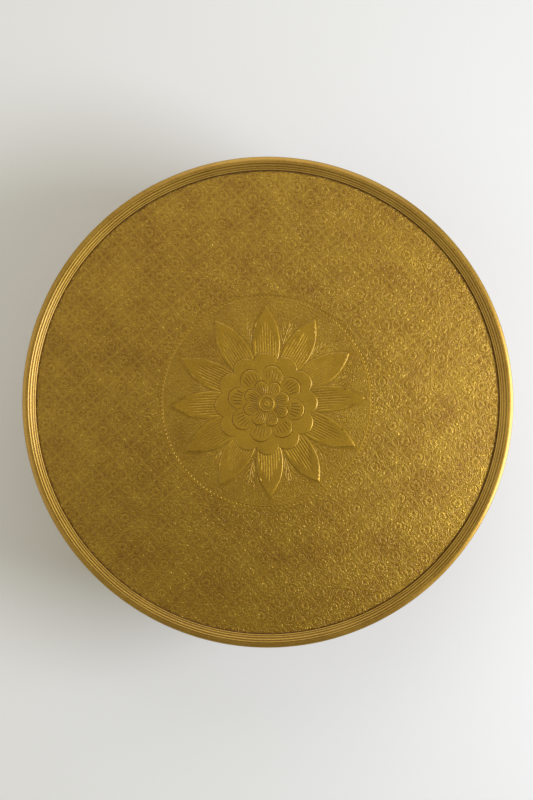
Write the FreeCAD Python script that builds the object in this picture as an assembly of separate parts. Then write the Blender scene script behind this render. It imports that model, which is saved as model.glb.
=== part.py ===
# Round drum coffee table: a wooden drum clad in embossed brass sheet, with a beaded rim
# round its tray top, a chased flower in the middle, and six levelling glides under the base.
# Millimetres. Origin on the floor under the middle of the table, +Z up, +Y to the flower's top leaf.
import FreeCAD
import Part

import math
import os

Vector = FreeCAD.Vector

# Whole table
table_diameter = 800.0
table_height = 400.0
floor_gap = 8.0
overrun = 1.0

# Room between layers, glued or pushed together
glue_gap = 0.3
screw_gap = 0.05
thread_gap = 0.05

# Embossed sheet and the chased flower on the top sheet
sheet_thickness = 0.8
medallion_radius = 174.0
medallion_turn = 1.9
rope_width = 4.4
rope_rise = 0.8
relief_bevel = 1.2

leaf_count = 12
leaf_root_radius = 52.0
leaf_shoulder_radius = 92.0
leaf_tip_radius = 159.0
leaf_half_width = 20.0
leaf_rise = 1.0
vein_count = 7
vein_pitch = 4.6
vein_width = 1.4
vein_depth = 0.6
vein_start_radius = 70.0
vein_long_radius = 132.0
vein_short_radius = 104.0

scallop_count = 12
scallop_tip_radius = 82.0
scallop_valley_radius = 72.5
scallop_rise = 1.3

middle_petal_count = 8
middle_petal_tip_radius = 62.0
middle_petal_valley_radius = 48.0
middle_petal_turn = -13.5
middle_petal_rise = 2.0

inner_petal_count = 8
inner_petal_tip_radius = 38.0
inner_petal_valley_radius = 28.0
inner_petal_turn = 16.0
inner_petal_rise = 2.7

boss_radius = 13.0
boss_ring_width = 2.6
boss_rise = 3.4
boss_dish_depth = 0.9
boss_bud_radius = 4.4

stroke_count = 3
stroke_fan_angle = 9.0
stroke_width = 1.0
stroke_depth = 0.5
middle_stroke_start_radius = 40.0
middle_stroke_end_radius = 53.0
inner_stroke_start_radius = 15.0
inner_stroke_end_radius = 31.0

# Rim moulding
rim_width = 22.5
rim_rise = 10.0
rim_step_count = 4
rim_bead_bulge = 1.1
rim_land_width = 8.8
rim_land_crown = 0.8
rim_corner_radius = 1.6
rim_face_height = 10.0
rim_skirt_depth = 38.0
rim_wall = 1.2

# Bands round the drum, at the rim's skirt and at the base
band_wall = 1.6
band_inset = 1.6
band_bead_height = 6.0
base_band_height = 45.0

# Side sheets and the strips over their seams
sheet_count = 3
seam_start_angle = 90.0
seam_slit = 0.6
strip_width = 20.0
strip_thickness = 1.0
strip_end_gap = 0.5

# Brass pins that hold the sheets, bands and strips
pin_gap = 0.05
pin_shank_radius = 0.7
pin_head_radius = 2.2
pin_head_rise = 1.2
pins_in_ring = 36
ring_pin_start_angle = 5.0
skirt_pin_length = 12.0
base_pin_length = 18.0
strip_pin_length = 7.5
strip_pin_rows = 6
strip_pin_edge_distance = 4.0
strip_pin_end_distance = 14.0

# Wooden drum
board_thickness = 18.0
skin_count = 2
skin_slit = 0.5
skin_thickness = 6.0
hoop_width = 60.0
hoop_thickness = 18.0
post_count = 6
post_start_angle = 30.0
post_width = 40.0
post_depth = 45.0
notch_gap = 0.3

# Wood screws
screw_radius = 2.5
screw_head_radius = 5.0
screw_head_depth = 2.8
post_screw_length = 60.0
top_screw_length = 32.0

# Levelling glides
glide_count = 6
glide_start_angle = 0.0
glide_edge_distance = 32.0
pad_radius = 17.0
pad_height = 5.0
pad_edge_radius = 1.5
collar_radius = 8.0
stud_radius = 4.0
stud_length = 26.0
stud_embed = 2.5
stud_tip_bevel = 0.8
insert_radius = 6.0
insert_length = 15.0

# Places worked out from the sizes above
table_radius = table_diameter / 2
tray_z = table_height - rim_rise
top_board_z = tray_z - sheet_thickness - board_thickness
rim_foot_radius = table_radius - rim_width
top_sheet_radius = rim_foot_radius - glue_gap
band_radius = table_radius - band_inset
band_inner_radius = band_radius - band_wall
body_radius = band_inner_radius - glue_gap
sheet_inner_radius = body_radius - sheet_thickness
skin_outer_radius = sheet_inner_radius - glue_gap
skin_inner_radius = skin_outer_radius - skin_thickness
frame_radius = skin_inner_radius - glue_gap
hoop_inner_radius = frame_radius - hoop_width
base_board_top_z = floor_gap + board_thickness
upper_hoop_z = top_board_z - hoop_thickness
middle_hoop_z = (base_board_top_z + upper_hoop_z - hoop_thickness) / 2
post_outer_distance = math.sqrt(frame_radius ** 2 - (post_width / 2) ** 2) - glue_gap
post_centre_distance = post_outer_distance - post_depth / 2
skirt_bottom_z = table_height - rim_skirt_depth
base_band_top_z = floor_gap + base_band_height
strip_outer_radius = body_radius + glue_gap + strip_thickness
strip_low_z = base_band_top_z + strip_end_gap
strip_high_z = skirt_bottom_z - strip_end_gap
glide_distance = frame_radius - glide_edge_distance


def polar(radius, angle, z=0.0):
    """The point at a radius and an angle in degrees, at height z."""
    turn = math.radians(angle)
    return Vector(radius * math.cos(turn), radius * math.sin(turn), z)


def turned(shape, angle):
    """A copy of the shape, turned about the table's axis."""
    copy = shape.copy()
    copy.rotate(Vector(), Vector(0, 0, 1), angle)
    return copy


def disc(radius, z, height):
    return Part.makeCylinder(radius, height, Vector(0, 0, z))


def hoop(inner, outer, z, height):
    """A flat ring between two radii."""
    return disc(outer, z, height).cut(disc(inner, z - overrun, height + 2 * overrun))


def closed_line(points):
    """A closed wire of straight edges through points."""
    return Part.makePolygon(list(points) + [points[0]])


def profile_point(radius, z):
    """A point of a section that is spun about the table's axis."""
    return Vector(radius, 0, z)


def spun(edges):
    """The solid that a closed section in the XZ plane sweeps round the table's axis."""
    face = Part.Face(Part.Wire(edges))
    return face.revolve(Vector(), Vector(0, 0, 1), 360)


def line(start, end):
    return Part.LineSegment(start, end).toShape()


def bulged_arc(start, end, bulge):
    """An arc of a section from start to end, standing off its chord to the left by bulge."""
    chord = end - start
    left = Vector(-chord.z, 0, chord.x).normalize()
    middle = (start + end) * 0.5 + left * bulge
    return Part.Arc(start, middle, end).toShape()


def curved_plate(inner, outer, z, height, start_angle, end_angle):
    """A plate bent round the table's axis, from one angle to another."""
    section = closed_line([
        profile_point(inner, z),
        profile_point(outer, z),
        profile_point(outer, z + height),
        profile_point(inner, z + height),
    ])
    plate = Part.Face(section).revolve(Vector(), Vector(0, 0, 1), end_angle - start_angle)
    return turned(plate, start_angle)


# The flower on the top sheet

def lobed_wire(count, tip_radius, valley_radius, z):
    """A ring of round lobes, one arc each, as a closed wire."""
    step = 360 / count
    edges = []
    for lobe in range(count):
        angle = lobe * step
        edges.append(Part.Arc(
            polar(valley_radius, angle - step / 2, z),
            polar(tip_radius, angle, z),
            polar(valley_radius, angle + step / 2, z),
        ).toShape())
    return Part.Wire(edges)


def petal_layer(count, tip_radius, valley_radius, rise, turn):
    """A lobed disc standing on the sheet, with bevelled sides."""
    low = lobed_wire(count, tip_radius, valley_radius, tray_z - sheet_thickness / 2)
    shoulder = lobed_wire(count, tip_radius, valley_radius, tray_z)
    top = lobed_wire(count, tip_radius - relief_bevel, valley_radius - relief_bevel, tray_z + rise)
    plinth = Part.makeLoft([low, shoulder], True, True)
    crown = Part.makeLoft([shoulder, top], True, True)
    return turned(plinth.fuse(crown).removeSplitter(), 90 + medallion_turn + turn)


def tangent_arc(shoulder, end):
    """An arc from a leaf's widest point, where it runs along the leaf, to a point on its middle line."""
    run = end.x - shoulder.x
    rise = end.y - shoulder.y
    radius = (run * run + rise * rise) / (2 * rise)
    half_turn = math.atan2(rise, abs(run))
    along = math.copysign(radius * math.sin(half_turn), run)
    middle = shoulder + Vector(along, radius * (1 - math.cos(half_turn)), 0)
    return Part.Arc(shoulder, middle, end).toShape()


def leaf_wire(inset, z):
    """The outline of a leaf along +X, drawn in by inset: widest at its shoulder, pointed at its tip."""
    half_width = leaf_half_width - inset
    slope = inset * (leaf_tip_radius - leaf_shoulder_radius) / leaf_half_width
    root = Vector(leaf_root_radius + slope, 0, z)
    tip = Vector(leaf_tip_radius - slope, 0, z)
    left = Vector(leaf_shoulder_radius, half_width, z)
    right = Vector(leaf_shoulder_radius, -half_width, z)
    return Part.Wire(Part.__sortEdges__([
        tangent_arc(right, tip),
        tangent_arc(left, tip),
        tangent_arc(left, root),
        tangent_arc(right, root),
    ]))


def graver_cut(start, end, width, depth):
    """The sharp groove that a graver leaves along +X, cut down from a surface at the height of start."""
    section = closed_line([
        start - Vector(0, 0, depth),
        start + Vector(0, width, depth),
        start + Vector(0, -width, depth),
    ])
    return Part.Face(section).extrude(Vector(end - start.x, 0, 0))


def vein(number):
    """One engraved vein, side by side with the others from the flower outwards."""
    middle = (vein_count - 1) / 2
    offset = (number - middle) * vein_pitch
    end = vein_long_radius - (vein_long_radius - vein_short_radius) * abs(number - middle) / middle
    return graver_cut(Vector(vein_start_radius, offset, tray_z + leaf_rise), end, vein_width / 2, vein_depth)


def petal_strokes(count, start, end, rise, turn):
    """The short cuts that fan out on each petal of a layer."""
    cut = graver_cut(Vector(start, 0, tray_z + rise), end, stroke_width / 2, stroke_depth)
    middle = (stroke_count - 1) / 2
    return [
        turned(cut, 90 + medallion_turn + turn + petal * 360 / count + (number - middle) * stroke_fan_angle)
        for petal in range(count)
        for number in range(stroke_count)
    ]


def leaf():
    """One raised leaf with bevelled sides and engraved veins."""
    low = leaf_wire(0, tray_z - sheet_thickness / 2)
    shoulder = leaf_wire(0, tray_z)
    top = leaf_wire(relief_bevel, tray_z + leaf_rise)
    blade = Part.makeLoft([low, shoulder], True, True).fuse(Part.makeLoft([shoulder, top], True, True))
    return cut_all(blade.removeSplitter(), [vein(number) for number in range(vein_count)])


def rope_ring():
    """The raised ring round the flower, a half round section."""
    low_z = tray_z - sheet_thickness / 2
    inner = medallion_radius - rope_width / 2
    outer = medallion_radius + rope_width / 2
    return spun([
        line(profile_point(outer, tray_z), profile_point(outer, low_z)),
        line(profile_point(outer, low_z), profile_point(inner, low_z)),
        line(profile_point(inner, low_z), profile_point(inner, tray_z)),
        bulged_arc(profile_point(inner, tray_z), profile_point(outer, tray_z), rope_rise),
    ])


def boss():
    """The flower's middle: a raised ring, a dish and a round bud."""
    low_z = tray_z + inner_petal_rise / 2
    top_z = tray_z + boss_rise
    dish_z = top_z - boss_dish_depth
    ring_inner = boss_radius - boss_ring_width
    axis_foot = profile_point(0, low_z)
    bud_top = profile_point(0, top_z)
    bud_side = profile_point(boss_bud_radius, dish_z)
    return spun([
        line(axis_foot, profile_point(boss_radius, low_z)),
        line(profile_point(boss_radius, low_z), profile_point(boss_radius, dish_z)),
        bulged_arc(profile_point(ring_inner, dish_z), profile_point(boss_radius, dish_z), boss_dish_depth),
        line(profile_point(ring_inner, dish_z), bud_side),
        bulged_arc(bud_top, bud_side, boss_dish_depth / 4),
        line(bud_top, axis_foot),
    ])


def middle_petals():
    """The flower's middle tier, with its strokes."""
    layer = petal_layer(
        middle_petal_count, middle_petal_tip_radius, middle_petal_valley_radius,
        middle_petal_rise, middle_petal_turn,
    )
    return cut_all(layer, petal_strokes(
        middle_petal_count, middle_stroke_start_radius, middle_stroke_end_radius,
        middle_petal_rise, middle_petal_turn,
    ))


def inner_petals():
    """The flower's inner tier, with its strokes."""
    layer = petal_layer(
        inner_petal_count, inner_petal_tip_radius, inner_petal_valley_radius,
        inner_petal_rise, inner_petal_turn,
    )
    return cut_all(layer, petal_strokes(
        inner_petal_count, inner_stroke_start_radius, inner_stroke_end_radius,
        inner_petal_rise, inner_petal_turn,
    ))


def make_top_sheet():
    """The round sheet of the tray, with its flower worked in relief."""
    sheet = disc(top_sheet_radius, tray_z - sheet_thickness, sheet_thickness)
    scallops = petal_layer(scallop_count, scallop_tip_radius, scallop_valley_radius, scallop_rise, 0)
    relief = [scallops, middle_petals(), inner_petals(), rope_ring(), boss()]
    one_leaf = leaf()
    for number in range(leaf_count):
        relief.append(turned(one_leaf, 90 + medallion_turn + number * 360 / leaf_count))
    return sheet.multiFuse(relief).removeSplitter()


# The rim

def rim_slope():
    """Where the rim's beads start and end, and the line under them on the hidden side."""
    step_start = profile_point(rim_foot_radius, tray_z)
    step_end = profile_point(table_radius - rim_land_width, table_height - rim_land_crown)
    along = (step_end - step_start).normalize()
    inward = Vector(along.z, 0, -along.x)
    hidden_top = step_end + inward * rim_wall
    board_top_z = tray_z - sheet_thickness
    back = (hidden_top.z - board_top_z) / along.z
    hidden_foot = hidden_top - along * back
    return step_start, step_end, hidden_foot, hidden_top


def make_rim_moulding():
    """The brass rim: beads stepping up from the tray, a crowned land and a skirt down the side."""
    step_start, step_end, hidden_foot, hidden_top = rim_slope()
    board_top_z = tray_z - sheet_thickness
    foot = profile_point(rim_foot_radius, board_top_z)
    edges = [line(foot, step_start)]
    start = step_start
    for step in range(rim_step_count):
        end = step_start + (step_end - step_start) * ((step + 1) / rim_step_count)
        edges.append(bulged_arc(start, end, rim_bead_bulge))
        start = end
    land_z = step_end.z
    land_end = profile_point(table_radius - rim_corner_radius, land_z)
    edges.append(bulged_arc(step_end, land_end, rim_land_crown))
    corner_low = profile_point(table_radius, land_z - rim_corner_radius)
    corner_bulge = rim_corner_radius * (1 - math.sqrt(0.5))
    edges.append(bulged_arc(land_end, corner_low, corner_bulge))
    face_low = profile_point(table_radius, table_height - rim_face_height)
    cove_low = profile_point(band_radius, face_low.z - band_inset)
    bead_top = profile_point(band_radius, skirt_bottom_z + band_bead_height)
    bead_low = profile_point(band_radius, skirt_bottom_z)
    hem = profile_point(band_inner_radius, skirt_bottom_z)
    hidden_corner = profile_point(band_inner_radius, hidden_top.z)
    edges += [
        line(corner_low, face_low),
        line(face_low, cove_low),
        line(cove_low, bead_top),
        bulged_arc(bead_top, bead_low, band_inset),
        line(bead_low, hem),
        line(hem, hidden_corner),
        line(hidden_corner, hidden_top),
        line(hidden_top, hidden_foot),
        line(hidden_foot, foot),
    ]
    return cut_all(spun(edges), skirt_pin_holes())


def make_rim_core():
    """The wooden ring that the rim moulding is pressed over."""
    step_start, step_end, hidden_foot, hidden_top = rim_slope()
    run = (hidden_top.x - hidden_foot.x) / (hidden_top.z - hidden_foot.z)
    top_z = hidden_top.z - glue_gap
    outer = band_inner_radius - glue_gap
    section = [
        profile_point(hidden_foot.x + glue_gap * (1 + run), hidden_foot.z),
        profile_point(outer, hidden_foot.z),
        profile_point(outer, top_z),
        profile_point(hidden_top.x + glue_gap, top_z),
    ]
    return Part.Face(closed_line(section)).revolve(Vector(), Vector(0, 0, 1), 360)


# The bands, side sheets and seam strips

def make_base_band():
    """The plain brass band round the foot of the drum, with a bead along its top edge."""
    low_inner = profile_point(band_inner_radius, floor_gap)
    low_outer = profile_point(band_radius, floor_gap)
    bead_low = profile_point(band_radius, base_band_top_z - band_bead_height)
    bead_top = profile_point(band_radius, base_band_top_z)
    top_inner = profile_point(band_inner_radius, base_band_top_z)
    return cut_all(spun([
        line(low_inner, low_outer),
        line(low_outer, bead_low),
        bulged_arc(bead_top, bead_low, band_inset),
        line(bead_top, top_inner),
        line(top_inner, low_inner),
    ]), base_pin_holes())


def make_side_sheet(number):
    """One of the embossed sheets wrapped round the drum, from seam to seam."""
    span = 360 / sheet_count
    start = seam_start_angle + number * span
    slit = math.degrees(seam_slit / body_radius)
    sheet = curved_plate(
        sheet_inner_radius, body_radius, floor_gap, top_board_z - floor_gap,
        start + slit / 2, start + span - slit / 2,
    )
    return cut_all(sheet, base_pin_holes() + strip_pin_holes())


def make_seam_strip(number):
    """The plain strip that covers a seam, between the base band and the rim's skirt."""
    angle = seam_start_angle + number * 360 / sheet_count
    inner = body_radius + glue_gap
    half = math.degrees(strip_width / 2 / inner)
    plate = curved_plate(
        inner, strip_outer_radius, strip_low_z, strip_high_z - strip_low_z, angle - half, angle + half,
    )
    return cut_all(plate, strip_pin_holes())


# The brass pins

def pin_seats(radius, angles, z):
    return [(radius, angle, z) for angle in angles]


def skirt_pin_seats():
    """Round the rim's skirt, into the edge of the top board."""
    return pin_seats(band_radius, ring_pin_angles(), top_board_z + board_thickness / 2)


def base_pin_seats():
    """Round the base band, into the edge of the base board."""
    return pin_seats(band_radius, ring_pin_angles(), floor_gap + board_thickness / 2)


def ring_pin_angles():
    return [ring_pin_start_angle + number * 360 / pins_in_ring for number in range(pins_in_ring)]


def strip_pin_seats():
    """In two rows down each seam strip, into the plywood on both sides of the seam."""
    offset = math.degrees((strip_width / 2 - strip_pin_edge_distance) / strip_outer_radius)
    low = strip_low_z + strip_pin_end_distance
    step = (strip_high_z - strip_pin_end_distance - low) / (strip_pin_rows - 1)
    seats = []
    for seam in range(sheet_count):
        angle = seam_start_angle + seam * 360 / sheet_count
        for row in range(strip_pin_rows):
            seats += pin_seats(strip_outer_radius, [angle - offset, angle + offset], low + row * step)
    return seats


def seated(shape, seat):
    """A pin or hole along +X, moved out to its seat and turned to its angle."""
    radius, angle, z = seat
    copy = shape.copy()
    copy.translate(Vector(radius, 0, z))
    return turned(copy, angle)


def brass_pins(seats, length):
    """Round-headed pins on their seats, as a group of solids."""
    section = Part.Wire(Part.__sortEdges__([
        line(Vector(-length, 0, 0), Vector(0, 0, 0)),
        line(Vector(0, 0, 0), Vector(pin_head_rise, 0, 0)),
        bulged_arc(Vector(0, 0, pin_head_radius), Vector(pin_head_rise, 0, 0), pin_head_rise / 4),
        line(Vector(0, 0, pin_head_radius), Vector(0, 0, pin_shank_radius)),
        line(Vector(0, 0, pin_shank_radius), Vector(2 * pin_shank_radius - length, 0, pin_shank_radius)),
        line(Vector(2 * pin_shank_radius - length, 0, pin_shank_radius), Vector(-length, 0, 0)),
    ]))
    pin = Part.Face(section).revolve(Vector(), Vector(1, 0, 0), 360)
    return Part.makeCompound([seated(pin, seat) for seat in seats])


def pin_holes(seats, length):
    hole = Part.makeCylinder(
        pin_shank_radius + pin_gap, length + pin_gap + overrun,
        Vector(-length - pin_gap, 0, 0), Vector(1, 0, 0),
    )
    return [seated(hole, seat) for seat in seats]


def skirt_pin_holes():
    return pin_holes(skirt_pin_seats(), skirt_pin_length)


def base_pin_holes():
    return pin_holes(base_pin_seats(), base_pin_length)


def strip_pin_holes():
    return pin_holes(strip_pin_seats(), strip_pin_length)


# The wooden drum

def make_ply_skin(number):
    """One of the bent plywood sheets that make the drum's wall, under the brass."""
    span = 360 / skin_count
    slit = math.degrees(skin_slit / skin_outer_radius)
    start = seam_start_angle + number * span
    skin = curved_plate(
        skin_inner_radius, skin_outer_radius, floor_gap, top_board_z - floor_gap,
        start + slit / 2, start + span - slit / 2,
    )
    return cut_all(skin, base_pin_holes() + strip_pin_holes())


def post_angles():
    return [post_start_angle + number * 360 / post_count for number in range(post_count)]


def block(outer_distance, depth, width, z, height, angle):
    """A square block set radially: its outer face at a distance from the axis."""
    box = Part.makeBox(depth, width, height, Vector(outer_distance - depth, -width / 2, z))
    return turned(box, angle)


def wood_screw(length, place, upward):
    """A countersunk screw with its head's flat face at place."""
    direction = 1 if upward else -1
    head_end = screw_head_depth * direction
    tip = length * direction
    section = closed_line([
        Vector(),
        Vector(screw_head_radius, 0, 0),
        Vector(screw_radius, 0, head_end),
        Vector(screw_radius, 0, tip - screw_radius * direction),
        Vector(0, 0, tip),
    ])
    solid = Part.Face(section).revolve(Vector(), Vector(0, 0, 1), 360)
    solid.translate(place)
    return solid


def screw_hole(length, place, upward):
    """The hole that a wood screw fills, a little wider and running out past its head."""
    direction = 1 if upward else -1
    mouth = screw_head_radius + screw_gap
    bore = screw_radius + screw_gap
    section = closed_line([
        Vector(0, 0, -overrun * direction),
        Vector(mouth, 0, -overrun * direction),
        Vector(mouth, 0, 0),
        Vector(bore, 0, screw_head_depth * direction),
        Vector(bore, 0, length * direction),
        Vector(0, 0, length * direction),
    ])
    solid = Part.Face(section).revolve(Vector(), Vector(0, 0, 1), 360)
    solid.translate(place)
    return solid


def post_bottom_places():
    return [polar(post_centre_distance, angle, floor_gap) for angle in post_angles()]


def post_top_places():
    return [polar(post_centre_distance, angle, top_board_z) for angle in post_angles()]


def top_screw_places():
    """Between the posts, where a screwdriver reaches up from inside the drum."""
    half_step = 180 / post_count
    middle = frame_radius - hoop_width / 2
    return [polar(middle, angle + half_step, upper_hoop_z) for angle in post_angles()]


def cut_all(shape, tools):
    return shape.cut(Part.makeCompound(tools)) if tools else shape


def make_base_board():
    """The disc that closes the drum below, bored for the post screws and the glides' inserts."""
    board = disc(frame_radius, floor_gap, board_thickness)
    holes = [screw_hole(post_screw_length, place, True) for place in post_bottom_places()]
    for place in glide_places():
        low = place + Vector(0, 0, floor_gap - overrun)
        holes.append(Part.makeCylinder(
            insert_radius + screw_gap, insert_length + overrun, low,
        ))
        holes.append(Part.makeCylinder(
            stud_radius + glue_gap, board_thickness + 2 * overrun, low,
        ))
    return cut_all(board, holes + base_pin_holes())


def make_post(number):
    """One upright of the frame, bored at each end for its screw."""
    angle = post_angles()[number]
    post = block(
        post_outer_distance, post_depth, post_width,
        base_board_top_z, upper_hoop_z - base_board_top_z, angle,
    )
    return cut_all(post, [
        screw_hole(post_screw_length, post_bottom_places()[number], True),
        screw_hole(post_screw_length, post_top_places()[number], False),
    ])


def make_middle_hoop():
    """The ring half way up, notched over the posts."""
    ring = hoop(hoop_inner_radius, frame_radius, middle_hoop_z, hoop_thickness)
    notches = [
        block(
            frame_radius + overrun, frame_radius + overrun - post_outer_distance + post_depth + notch_gap,
            post_width + 2 * notch_gap, middle_hoop_z - overrun, hoop_thickness + 2 * overrun, angle,
        )
        for angle in post_angles()
    ]
    return cut_all(ring, notches)


def make_upper_hoop():
    """The ring on top of the posts that the top board is screwed to."""
    ring = hoop(hoop_inner_radius, frame_radius, upper_hoop_z, hoop_thickness)
    holes = [screw_hole(post_screw_length, place, False) for place in post_top_places()]
    holes += [screw_hole(top_screw_length, place, True) for place in top_screw_places()]
    return cut_all(ring, holes)


def make_top_board():
    """The board under the top sheet, bored from below for its screws."""
    board = disc(body_radius, top_board_z, board_thickness)
    holes = [screw_hole(top_screw_length, place, True) for place in top_screw_places()]
    return cut_all(board, holes + skirt_pin_holes())


def make_post_bottom_screws():
    return Part.makeCompound([wood_screw(post_screw_length, place, True) for place in post_bottom_places()])


def make_post_top_screws():
    return Part.makeCompound([wood_screw(post_screw_length, place, False) for place in post_top_places()])


def make_top_board_screws():
    return Part.makeCompound([wood_screw(top_screw_length, place, True) for place in top_screw_places()])


# The levelling glides

def glide_places():
    step = 360 / glide_count
    return [polar(glide_distance, glide_start_angle + number * step) for number in range(glide_count)]


def make_threaded_inserts():
    """The steel sleeves in the base board that the glides screw into."""
    sleeves = []
    for place in glide_places():
        low = place + Vector(0, 0, floor_gap)
        sleeve = Part.makeCylinder(insert_radius, insert_length, low)
        bore_low = low - Vector(0, 0, overrun)
        bore = Part.makeCylinder(stud_radius + thread_gap, insert_length + 2 * overrun, bore_low)
        sleeves.append(sleeve.cut(bore))
    return Part.makeCompound(sleeves)


def make_glide_pad(number):
    """The moulded plastic foot, with a rounded edge and a socket for its stud."""
    rounded_top = pad_height - pad_edge_radius
    corner = pad_edge_radius * (1 - math.sqrt(0.5))
    socket = stud_radius
    socket_z = pad_height - stud_embed
    pad = spun([
        line(Vector(), Vector(pad_radius, 0, 0)),
        line(Vector(pad_radius, 0, 0), Vector(pad_radius, 0, rounded_top)),
        bulged_arc(Vector(pad_radius - pad_edge_radius, 0, pad_height), Vector(pad_radius, 0, rounded_top), corner),
        line(Vector(pad_radius - pad_edge_radius, 0, pad_height), Vector(socket, 0, pad_height)),
        line(Vector(socket, 0, pad_height), Vector(socket, 0, socket_z)),
        line(Vector(socket, 0, socket_z), Vector(0, 0, socket_z)),
        line(Vector(0, 0, socket_z), Vector()),
    ])
    pad.translate(glide_places()[number])
    return pad


def make_glide_stud(number):
    """The threaded steel stud with its six-sided collar."""
    collar_height = floor_gap - glue_gap - pad_height
    foot_z = pad_height - stud_embed
    corners = [polar(collar_radius, 60 * side, pad_height) for side in range(6)]
    collar = Part.Face(closed_line(corners)).extrude(Vector(0, 0, collar_height))
    top_z = floor_gap + stud_length
    shank = Part.Face(closed_line([
        Vector(0, 0, foot_z),
        Vector(stud_radius, 0, foot_z),
        Vector(stud_radius, 0, top_z - stud_tip_bevel),
        Vector(stud_radius - stud_tip_bevel, 0, top_z),
        Vector(0, 0, top_z),
    ])).revolve(Vector(), Vector(0, 0, 1), 360)
    stud = shank.fuse(collar).removeSplitter()
    stud.translate(glide_places()[number])
    return stud


def save(name, shape):
    """Writes one sub-part, as a closed solid or a group of them."""
    solids = shape.Solids
    if not shape.isValid() or not solids:
        raise ValueError(name + " is not a closed solid")
    kept = solids[0] if len(solids) == 1 else Part.makeCompound(solids)
    kept.exportStep("parts/" + name + ".step")


def build():
    os.makedirs("parts", exist_ok=True)
    save("top_sheet", make_top_sheet())
    save("rim_moulding", make_rim_moulding())
    save("rim_core", make_rim_core())
    save("top_board", make_top_board())
    save("upper_hoop", make_upper_hoop())
    save("middle_hoop", make_middle_hoop())
    for number in range(post_count):
        save("post_" + str(number + 1), make_post(number))
    for number in range(skin_count):
        save("ply_skin_" + str(number + 1), make_ply_skin(number))
    for number in range(sheet_count):
        save("side_sheet_" + str(number + 1), make_side_sheet(number))
        save("seam_strip_" + str(number + 1), make_seam_strip(number))
    save("base_band", make_base_band())
    save("skirt_pins", brass_pins(skirt_pin_seats(), skirt_pin_length))
    save("base_band_pins", brass_pins(base_pin_seats(), base_pin_length))
    save("seam_strip_pins", brass_pins(strip_pin_seats(), strip_pin_length))
    save("base_board", make_base_board())
    save("post_bottom_screws", make_post_bottom_screws())
    save("post_top_screws", make_post_top_screws())
    save("top_board_screws", make_top_board_screws())
    save("threaded_inserts", make_threaded_inserts())
    for number in range(glide_count):
        save("glide_pad_" + str(number + 1), make_glide_pad(number))
        save("glide_stud_" + str(number + 1), make_glide_stud(number))


build()
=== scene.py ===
import math
import random

import bmesh
import bpy
from mathutils import Matrix, Vector


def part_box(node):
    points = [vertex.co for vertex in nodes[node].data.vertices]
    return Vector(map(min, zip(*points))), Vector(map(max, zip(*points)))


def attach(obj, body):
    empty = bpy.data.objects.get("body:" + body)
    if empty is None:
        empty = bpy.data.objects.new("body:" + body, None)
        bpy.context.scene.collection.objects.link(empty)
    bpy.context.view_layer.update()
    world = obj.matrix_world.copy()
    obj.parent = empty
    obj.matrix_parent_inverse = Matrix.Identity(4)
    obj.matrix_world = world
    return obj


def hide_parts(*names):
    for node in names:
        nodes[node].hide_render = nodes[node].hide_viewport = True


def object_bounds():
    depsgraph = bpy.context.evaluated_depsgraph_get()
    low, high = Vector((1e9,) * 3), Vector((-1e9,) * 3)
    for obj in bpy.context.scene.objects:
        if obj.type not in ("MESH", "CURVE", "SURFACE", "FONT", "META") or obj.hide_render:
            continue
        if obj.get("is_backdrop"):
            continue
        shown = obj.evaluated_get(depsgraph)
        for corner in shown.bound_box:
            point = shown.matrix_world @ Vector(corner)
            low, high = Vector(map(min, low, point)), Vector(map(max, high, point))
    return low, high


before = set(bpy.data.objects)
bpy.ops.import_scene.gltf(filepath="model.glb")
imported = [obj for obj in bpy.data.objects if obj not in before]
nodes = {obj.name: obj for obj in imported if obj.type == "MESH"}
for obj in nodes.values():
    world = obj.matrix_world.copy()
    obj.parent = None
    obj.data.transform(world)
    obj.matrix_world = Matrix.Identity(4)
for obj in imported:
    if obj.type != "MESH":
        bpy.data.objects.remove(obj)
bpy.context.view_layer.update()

# The base board and its levelling glides
# A disc of board closes the drum. Six moulded nylon pads stand under it, each pressed on a zinc-plated
# stud that turns in a steel sleeve. Only the board's stained underside and the pads show.
MM = 0.001
lacquer_roughness = 0.15


def srgb(code):
    """A colour written as sRGB hex, as the linear values that shaders take."""
    channels = [int(code[i:i + 2], 16) / 255 for i in (1, 3, 5)]
    linear = [c / 12.92 if c <= 0.04045 else ((c + 0.055) / 1.055) ** 2.4 for c in channels]
    return (*linear, 1)


def add_node(tree, kind, inputs=None, **settings):
    """Adds one node. Its inputs are values or other nodes' outputs, by socket name or number."""
    node = tree.nodes.new(kind)
    for name, value in settings.items():
        setattr(node, name, value)
    for key, value in (inputs or {}).items():
        if isinstance(value, bpy.types.NodeSocket):
            tree.links.new(value, node.inputs[key])
        else:
            node.inputs[key].default_value = value
    return node


def new_material(name, metallic, coat=0.0):
    """A material with a Principled shader, its node tree and that shader."""
    material = bpy.data.materials.new(name)
    material.use_nodes = True
    tree = material.node_tree
    tree.nodes.clear()
    shader = add_node(tree, "ShaderNodeBsdfPrincipled", {
        "Metallic": metallic, "Coat Weight": coat, "Coat Roughness": lacquer_roughness,
    })
    add_node(tree, "ShaderNodeOutputMaterial", {"Surface": shader.outputs["BSDF"]})
    return material, tree, shader


def grain(tree, size, detail=3.0, stretch=(1, 1, 1)):
    """Noise with grains of a real size, in the object's own space."""
    place = add_node(tree, "ShaderNodeTexCoord").outputs["Object"]
    place = add_node(tree, "ShaderNodeMapping", {"Vector": place, "Scale": stretch}).outputs["Vector"]
    noise = add_node(tree, "ShaderNodeTexNoise", {
        "Vector": place, "Scale": 1 / size, "Detail": detail, "Roughness": 0.55,
    })
    return noise.outputs["Fac"]


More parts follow.
